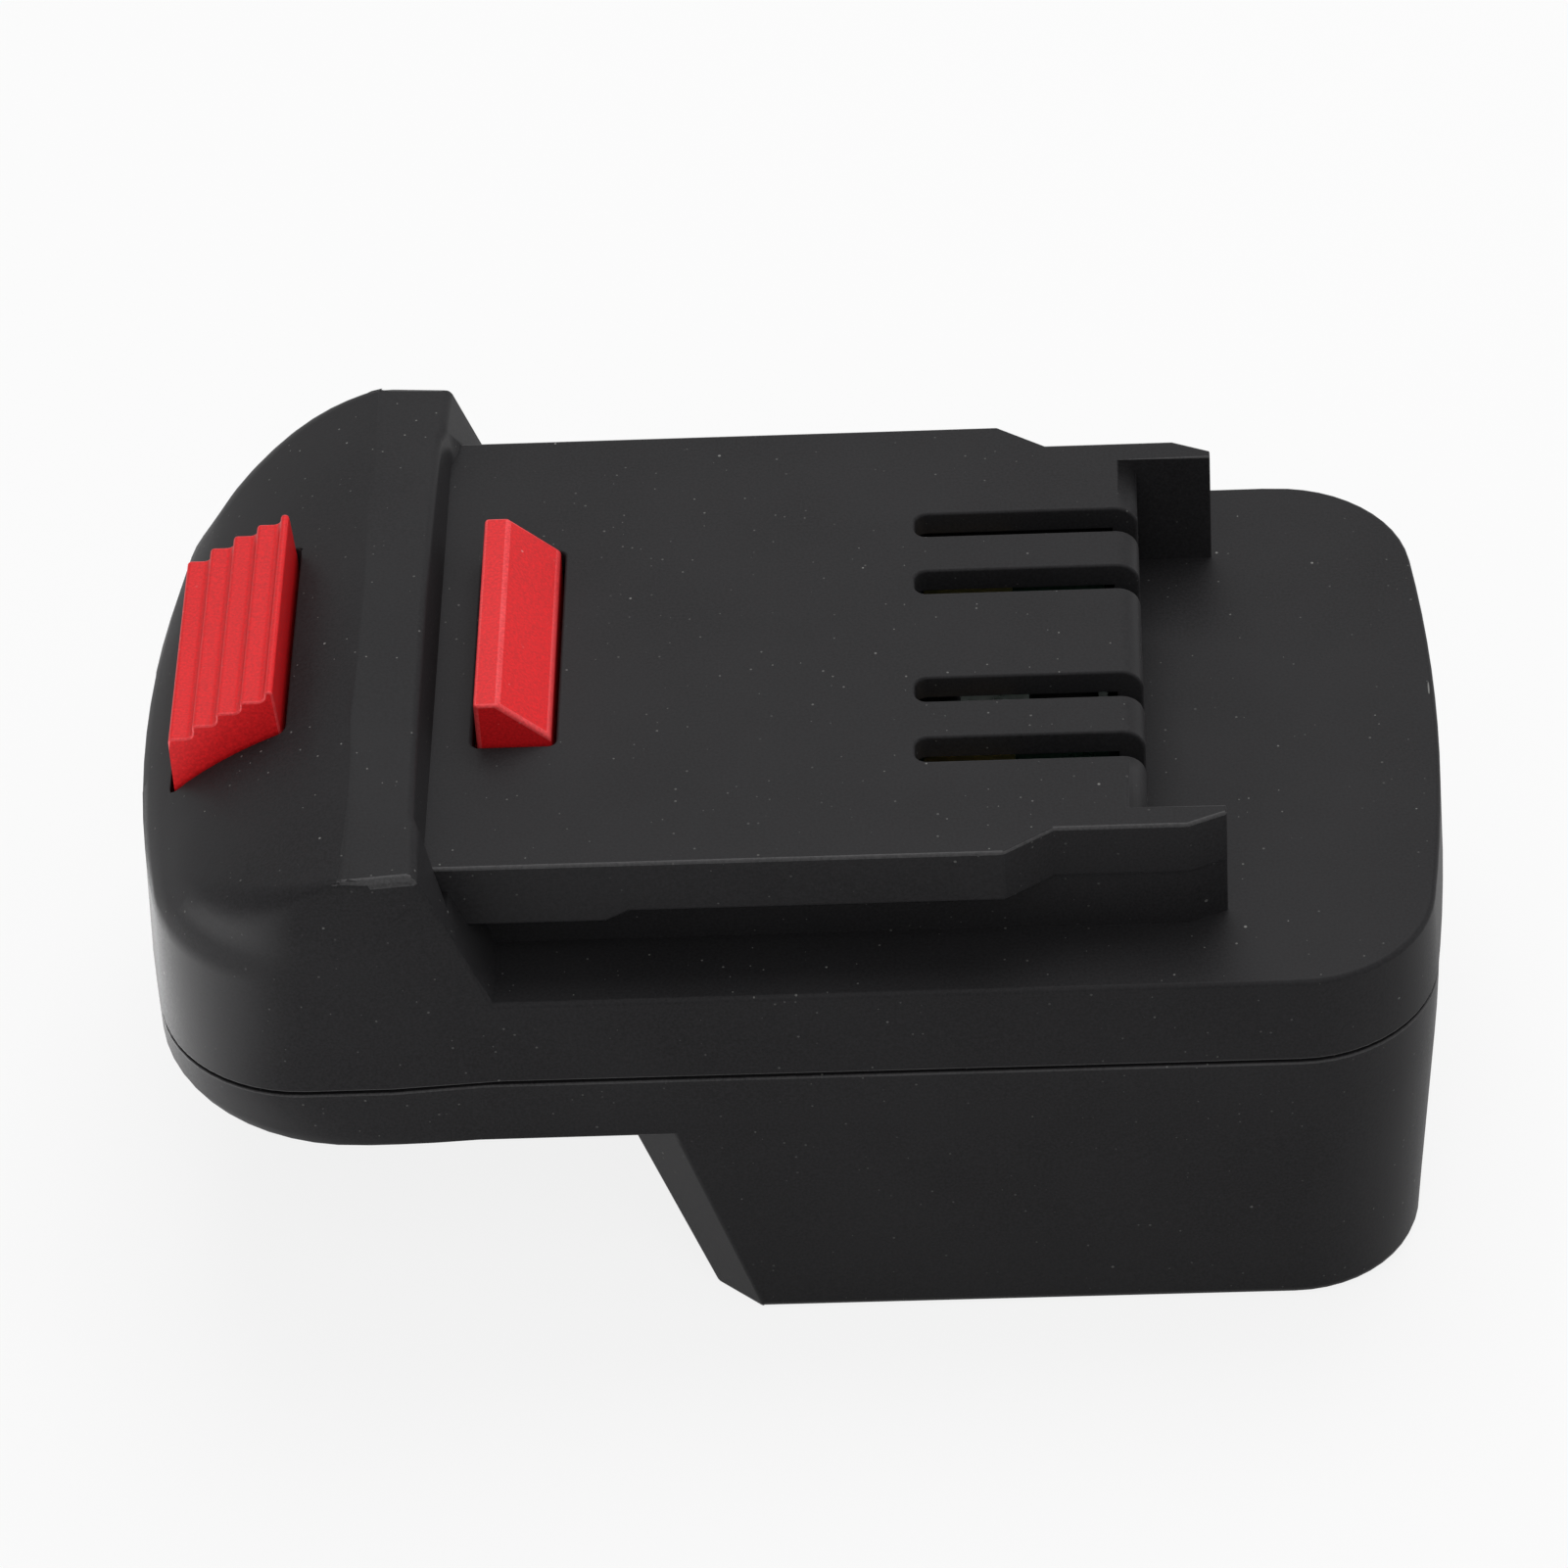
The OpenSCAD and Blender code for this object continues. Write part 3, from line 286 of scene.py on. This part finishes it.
def moulded(name, dark, light, roughness, specular, grain, dust):
    """Moulded plastic: two tones, spark-eroded grain, and dust mostly on upward faces."""
    material, tree, shader = new_material(name)
    where = place(tree)
    cloud = remap(tree, noise(tree, where, scale=70, detail=3.0), 0.35, 0.65)
    fine = noise(tree, where, scale=3600, roughness=0.6)
    color = mix_color(tree, cloud, rgba(dark), rgba(light))
    color = mix_color(tree, remap(tree, fine, 0.3, 0.7, to_high=0.6), color,
                      rgba(light, GRAIN_LIFT))
    color = mix_color(tree, dust_on(tree, where, dust), color, DUST_COLOR)
    coat(tree, shader, color, remap(tree, fine, 0.25, 0.75, roughness - 0.06, roughness + 0.06))
    shader.inputs["Specular IOR Level"].default_value = specular
    emboss(tree, shader, fine, grain, GRAIN_DEPTH)
    return material


def metal(name, color, roughness, brushed):
    """Stamped or drawn metal with fine marks along one direction."""
    material, tree, shader = new_material(name)
    marks = noise(tree, place(tree, brushed), scale=900, detail=4.0, roughness=0.65)
    tarnish = remap(tree, noise(tree, place(tree), scale=260, detail=3.0), 0.35, 0.7)
    base = mix_color(tree, math_node(tree, "MULTIPLY", tarnish, 0.5), rgba(color),
                     rgba(color, 0.62))
    coat(tree, shader, base, remap(tree, marks, 0.3, 0.7, roughness - 0.08, roughness + 0.1))
    shader.inputs["Metallic"].default_value = 1.0
    emboss(tree, shader, marks, 0.12, MARK_DEPTH)
    return material


def board_mask(name):
    """Dark solder mask over fibre, with a faint weave."""
    material, tree, shader = new_material(name)
    where = place(tree)
    weave = node(tree, "ShaderNodeTexWave", {"Vector": where, "Scale": 420.0, "Distortion": 1.5})
    color = mix_color(tree, remap(tree, weave.outputs["Fac"], 0, 1, to_high=0.4),
                      (0.008, 0.022, 0.014, 1), (0.016, 0.04, 0.027, 1))
    coat(tree, shader, color, remap(tree, noise(tree, where, scale=700), 0.3, 0.7, 0.25, 0.4))
    return material


def insulation(name, color):
    """Extruded wire insulation, slightly uneven."""
    material, tree, shader = new_material(name)
    uneven = noise(tree, place(tree), scale=420, detail=3.0)
    base = mix_color(tree, remap(tree, uneven, 0.3, 0.7, to_high=0.5), rgba(color),
                     rgba(color, 0.7))
    coat(tree, shader, base, remap(tree, uneven, 0.3, 0.7, 0.45, 0.6))
    return material


def paper(name, shadow_share):
    """Pale paper: it is its own white for the camera, but for the share that takes the shadow."""
    material = bpy.data.materials.new(name)
    tree = bare_tree(material)
    matt = node(tree, "ShaderNodeBsdfDiffuse", {"Color": PAPER_COLOR})
    glow = node(tree, "ShaderNodeEmission", {"Color": WHITE, "Strength": 1.0})
    share = math_node(tree, "MULTIPLY", seen_directly(tree), 1 - shadow_share)
    both = node(tree, "ShaderNodeMixShader", {0: share, 1: matt.outputs[0], 2: glow.outputs[0]})
    node(tree, "ShaderNodeOutputMaterial", {"Surface": both.outputs[0]})
    return material


CASE = moulded("case_plastic", (0.0152, 0.0148, 0.0157), (0.0186, 0.0182, 0.0193),
               roughness=0.45, specular=0.06, grain=0.3, dust=0.4)
# The second case material paints a highlight: a lighter tone on the rounded edges, where they would
# catch the light
CASE_EDGE_HIGHLIGHT = moulded("case_edges_painted_highlight", (0.032, 0.0314, 0.0325), (0.052, 0.0512, 0.0526),
                    roughness=0.38, specular=0.1, grain=0.2, dust=0.3)
CARRIER = moulded("carrier_plastic", (0.020, 0.020, 0.021), (0.026, 0.026, 0.027),
                  roughness=0.45, specular=0.25, grain=0.2, dust=0.1)
RED = moulded("release_plastic", (0.545, 0.0088, 0.0116), (0.595, 0.0106, 0.0138),
              roughness=0.4, specular=0.18, grain=0.2, dust=0.3)
# The second release material paints a highlight: a lighter, paler red on the rounded edges
RED_EDGE_HIGHLIGHT = moulded("release_edges_painted_highlight", (0.62, 0.026, 0.031), (0.70, 0.055, 0.060),
                   roughness=0.36, specular=0.2, grain=0.15, dust=0.2)
BRASS = metal("brass", (0.62, 0.44, 0.19), roughness=0.36, brushed=(1, 6, 1))
STEEL = metal("zinc_steel", (0.55, 0.56, 0.58), roughness=0.32, brushed=(1, 1, 5))
SPRING_STEEL = metal("spring_wire", (0.60, 0.61, 0.63), roughness=0.28, brushed=(4, 4, 1))

SLOT_LOOKS = {
    "case": CASE,
    "release": RED,
    "spring": SPRING_STEEL,
    "board": board_mask("solder_mask"),
    "contact": BRASS,
    "carrier": CARRIER,
    "screw": STEEL,
    "wire_red": insulation("insulation_red", (0.50, 0.02, 0.02)),
    "wire_white": insulation("insulation_white", (0.72, 0.72, 0.68)),
    "wire_black": insulation("insulation_black", (0.02, 0.02, 0.02)),
}


# Objects

def add_object(name, data):
    """A new object in the scene."""
    obj = bpy.data.objects.new(name, data)
    bpy.context.scene.collection.objects.link(obj)
    return obj


def dress(obj, *materials):
    """Give an object these materials in place of its own."""
    obj.data.materials.clear()
    for material in materials:
        obj.data.materials.append(material)


def finish_piece(name, made, materials, node_name, body):
    """An object from a bmesh that stands for a CAD node and rides on its body."""
    mesh = bpy.data.meshes.new(name)
    made.to_mesh(mesh)
    made.free()
    obj = add_object(name, mesh)
    dress(obj, *materials)
    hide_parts(node_name)
    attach(obj, body)
    return obj


# Forms of the mouldings, cleaned for rounding

def sharper(made, angle):
    """Edges between two faces that turn by more than an angle."""
    return [e for e in made.edges if len(e.link_faces) == 2 and e.calc_face_angle(0.0) > angle]


def joined_copy(node_name):
    """A bmesh of a CAD node with the points that coincide joined."""
    made = bmesh.new()
    made.from_mesh(NODES[node_name].data)
    bmesh.ops.remove_doubles(made, verts=made.verts, dist=WELD)
    return made


def drop_flaps(made):
    """Take away flaps of no thickness: the tip of each joins the nearer of its two neighbours."""
    tips = {v for e in sharper(made, FOLD_ANGLE) for v in e.verts if len(v.link_edges) == 2}
    bmesh.ops.weld_verts(made, targetmap={
        tip: min(tip.link_edges, key=lambda e: e.calc_length()).other_vert(tip) for tip in tips})


def clean_copy(node_name):
    """A bmesh of a CAD node with its flat faces whole and its curved faces in fours."""
    made = joined_copy(node_name)
    bmesh.ops.dissolve_limit(made, angle_limit=FLAT_ANGLE, verts=made.verts, edges=made.edges)
    bmesh.ops.join_triangles(made, faces=made.faces, angle_face_threshold=JOIN_ANGLE,
                             angle_shape_threshold=math.pi)
    drop_flaps(made)
    return made


def upper_form():
    """The upper shell, with the many short edges at the ends of its crest drawn together."""
    made = clean_copy("upper_shell")
    ends = [v for v in made.verts if CORNER_X[0] < v.co.x < CORNER_X[1]
            and abs(v.co.y) > CORNER_Y and v.co.z > CORNER_Z]
    bmesh.ops.remove_doubles(made, verts=ends, dist=CORNER_WELD)
    return made


def lower_form():
    """The lower shell with its rim drawn back from the seam, so that the seam shows."""
    made = clean_copy("lower_shell")
    for vert in made.verts:
        if abs(vert.co.z - SEAM_Z) < ON_RIM:
            vert.co.z -= SEAM_GAP
    return made


# Radius of each edge of the mouldings

SHELLS = bmesh.new()
for shell in ("upper_shell", "lower_shell"):
    SHELLS.from_mesh(NODES[shell].data)
SHELL_TREE = BVHTree.FromBMesh(SHELLS)
SHELLS.free()


def middle_of(edge):
    """The point halfway along an edge."""
    return (edge.verts[0].co + edge.verts[1].co) / 2


def outside(edge):
    """Whether an edge of a shell shows from outside: some ray off it meets nothing."""
    normal = sum((f.normal for f in edge.link_faces), Vector()).normalized()
    start = middle_of(edge) + normal * RAY_START
    rays = [(normal + Vector(tilt)).normalized() for tilt in RAY_TILTS]
    return any(SHELL_TREE.ray_cast(start, ray)[0] is None for ray in rays)


def near_screw(point):
    """Whether a point is at one of the bosses of the case screws."""
    return any(math.hypot(point.x - x, point.y - y) < SCREW_CLEAR for x, y in SCREW_AXES)


def upper_radius(edge):
    """Edge radius on the upper shell: none inside, widest on the crest and the shoulder."""
    middle = middle_of(edge)
    if not edge.is_convex or not outside(edge):
        return 0.0
    if abs(middle.z - SEAM_Z) < ON_LEVEL:
        return 0.0 if near_screw(middle) else SEAM_R
    if abs(middle.z - SHOULDER_Z) < ON_LEVEL:
        return SHOULDER_R
    if WINDOW_X[0] < middle.x < WINDOW_X[1]:
        return WINDOW_R
    if middle.z > CREST_Z and middle.x > CREST_X:
        return CREST_R
    if middle.x > ARM_END_X:
        return ARM_END_R
    if middle.x < EAR_X:
        return EAR_R
    return EDGE_R


def lower_radius(edge):
    """Edge radius on the lower shell: none inside, widest under the tray and the block."""
    middle = middle_of(edge)
    if not edge.is_convex or not outside(edge):
        return 0.0
    if middle.z > SEAM_Z - RIM_DEPTH:
        return 0.0 if near_screw(middle) else SEAM_R
    if near_screw(middle):
        return WINDOW_R
    level = abs(edge.verts[0].co.z - edge.verts[1].co.z) < LEVEL_RISE
    if level and (abs(middle.y) > UNDER_SIDE_Y or abs(middle.x) > UNDER_END_X):
        return UNDER_R
    return EDGE_R


def release_radius(edge):
    """Edge radius on the release: none below the roof, wider on the latch than on the button."""
    middle = middle_of(edge)
    if middle.z < DECK_Z - ROOF_DEPTH or not edge.is_convex:
        return 0.0
    return LATCH_R if middle.x > LATCH_X else BUTTON_R


# Mouldings with their edges rounded

def takes_painted_highlight(face):
    """Whether a rounded face of the case gets the painted highlight: along the rail, the hump's
    sides and the seam.
    """
    on_top = face.center.z > DECK_Z - HIGHLIGHT_DEPTH and abs(face.center.y) > RAIL_Y
    leans = HIGHLIGHT_LEAN[0] < abs(face.normal.y) < HIGHLIGHT_LEAN[1]
    return (on_top and leans) or abs(face.center.z - SEAM_Z) < HIGHLIGHT_SEAM


def any_edge(face):
    """Every rounded face gets the painted highlight."""
    return True


def shade(obj):
    """Smooth shading that breaks at sharp edges and keeps flat faces flat."""
    mesh = obj.data
    mesh.polygons.foreach_set("use_smooth", [True] * len(mesh.polygons))
    mesh.set_sharp_from_angle(angle=SMOOTH_ANGLE)
    weighted = obj.modifiers.new("flat_faces", "WEIGHTED_NORMAL")
    weighted.keep_sharp = True


def apply_modifiers(obj):
    """The mesh as its modifiers leave it, in place of the old one."""
    depsgraph = bpy.context.evaluated_depsgraph_get()
    mesh = bpy.data.meshes.new_from_object(obj.evaluated_get(depsgraph))
    obj.modifiers.clear()
    obj.data = mesh


def chains(edges):
    """Groups of edges that join end to end."""
    left = set(edges)
    groups = []
    while left:
        group, open_ends = [], [left.pop()]
        while open_ends:
            edge = open_ends.pop()
            group.append(edge)
            found = [e for v in edge.verts for e in v.link_edges if e in left]
            left.difference_update(found)
            open_ends.extend(found)
        groups.append(group)
    return groups


def rounded(made, node_name, name, materials, body, radius_at, highlighted):
    """The form with each sharp edge rounded by radius_at; the rounded faces that the last argument
    picks take the second material, a painted highlight.
    """
    weight = made.edges.layers.float.new("bevel_weight_edge")
    wanted = {edge: radius_at(edge) for edge in sharper(made, SHARP_ANGLE)}
    shown = {edge for edge, radius in wanted.items() if radius > 0}
    widest = max(wanted.values())
    for group in chains(shown):
        if sum(e.calc_length() for e in group) > SHORTEST_CHAIN:
            for edge in group:
                beside = [e.calc_length() for v in edge.verts for e in v.link_edges
                          if e not in shown]
                edge[weight] = min(wanted[edge], ROOM * min(beside, default=widest)) / widest
    obj = finish_piece(name, made, materials, node_name, body)
    bevel = obj.modifiers.new("edges", "BEVEL")
    bevel.limit_method = "WEIGHT"
    bevel.width = widest
    bevel.segments = BEVEL_SEGMENTS
    bevel.material = 1
    bevel.use_clamp_overlap = False
    apply_modifiers(obj)
    for face in obj.data.polygons:
        face.material_index = int(face.material_index == 1 and highlighted(face))
    shade(obj)


# Rounded faces of the case and the release that are picked get a lighter second material, a painted
# highlight
rounded(upper_form(), "upper_shell", "upper_shell_skin", (CASE, CASE_EDGE_HIGHLIGHT), "housing",
        upper_radius, takes_painted_highlight)
rounded(lower_form(), "lower_shell", "lower_shell_skin", (CASE, CASE_EDGE_HIGHLIGHT), "housing",
        lower_radius, takes_painted_highlight)
rounded(clean_copy("release_latch"), "release_latch", "release_skin", (RED, RED_EDGE_HIGHLIGHT), "release",
        release_radius, any_edge)


# Smooth-shaded copies of the springs

def pressed_spring(node_name, name):
    """A smooth-shaded copy of a spring that takes its place on the housing."""
    made = joined_copy(node_name)
    for face in made.faces:
        face.smooth = True
    obj = finish_piece(name, made, (SPRING_STEEL,), node_name, "housing")
    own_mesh(obj)


pressed_spring("latch_spring_left", "spring_left_coil")
pressed_spring("latch_spring_right", "spring_right_coil")

# The other pieces are the solids themselves
for name, obj in NODES.items():
    dress(obj, SLOT_LOOKS[NODE_SLOTS[name]])


# Stage, light and camera

def make_floor():
    """A pale floor just below the object."""
    corners = [(-1, -1), (1, -1), (1, 1), (-1, 1)]
    mesh = bpy.data.meshes.new("floor")
    mesh.from_pydata([(x * FLOOR_HALF, y * FLOOR_HALF, 0) for x, y in corners], [], [(0, 1, 2, 3)])
    obj = add_object("floor", mesh)
    obj.location.z = CAD_BOX[0][2] - FLOOR_DROP
    dress(obj, paper("floor_paper", FLOOR_SHADOW_SHARE))


def make_world():
    """Even light from all around, which the camera sees as white."""
    world = bpy.data.worlds.new("studio")
    bpy.context.scene.world = world
    tree = bare_tree(world)
    level = remap(tree, seen_directly(tree), 0, 1, WORLD_STRENGTH, 1.0)
    light = node(tree, "ShaderNodeBackground", {"Color": WHITE, "Strength": level})
    node(tree, "ShaderNodeOutputWorld", {"Surface": light.outputs[0]})


def lamp(name, place_at, aim, size, power):
    """A square soft light of the given size in metres and power in watts."""
    data = bpy.data.lights.new(name, "AREA")
    data.shape = "SQUARE"
    data.size = size
    data.energy = power
    obj = add_object(name, data)
    obj.location = place_at
    obj.rotation_euler = (Vector(aim) - Vector(place_at)).to_track_quat("-Z", "Y").to_euler()
    return obj


def make_camera():
    """The camera that took the photograph, as fitted to its straight edges."""
    data = bpy.data.cameras.new("camera")
    data.sensor_width = CAMERA_SENSOR_MM
    data.lens = CAMERA_LENS_MM
    data.clip_end = CAMERA_CLIP_END
    obj = add_object("camera", data)
    obj.location = CAMERA_PLACE
    obj.rotation_euler = CAMERA_TURN
    bpy.context.scene.camera = obj


make_floor()
make_world()
lamp("key", (0.08, 0.52, 1.15), aim=(0, 0, 0), size=0.9, power=9.8)
card = lamp("card", (-0.16, -0.05, 0.002), aim=(-0.16, -0.05, 1.0), size=0.16, power=0.27)
card.visible_camera = False
lamp("front", (0.1, -0.95, 1.15), aim=(0, 0, 0.03), size=1.0, power=4.8)
lamp("right", (1.15, 0.1, 0.5), aim=(0, 0, 0.03), size=0.9, power=2.7)
make_camera()
bpy.context.scene.view_settings.view_transform = "Standard"
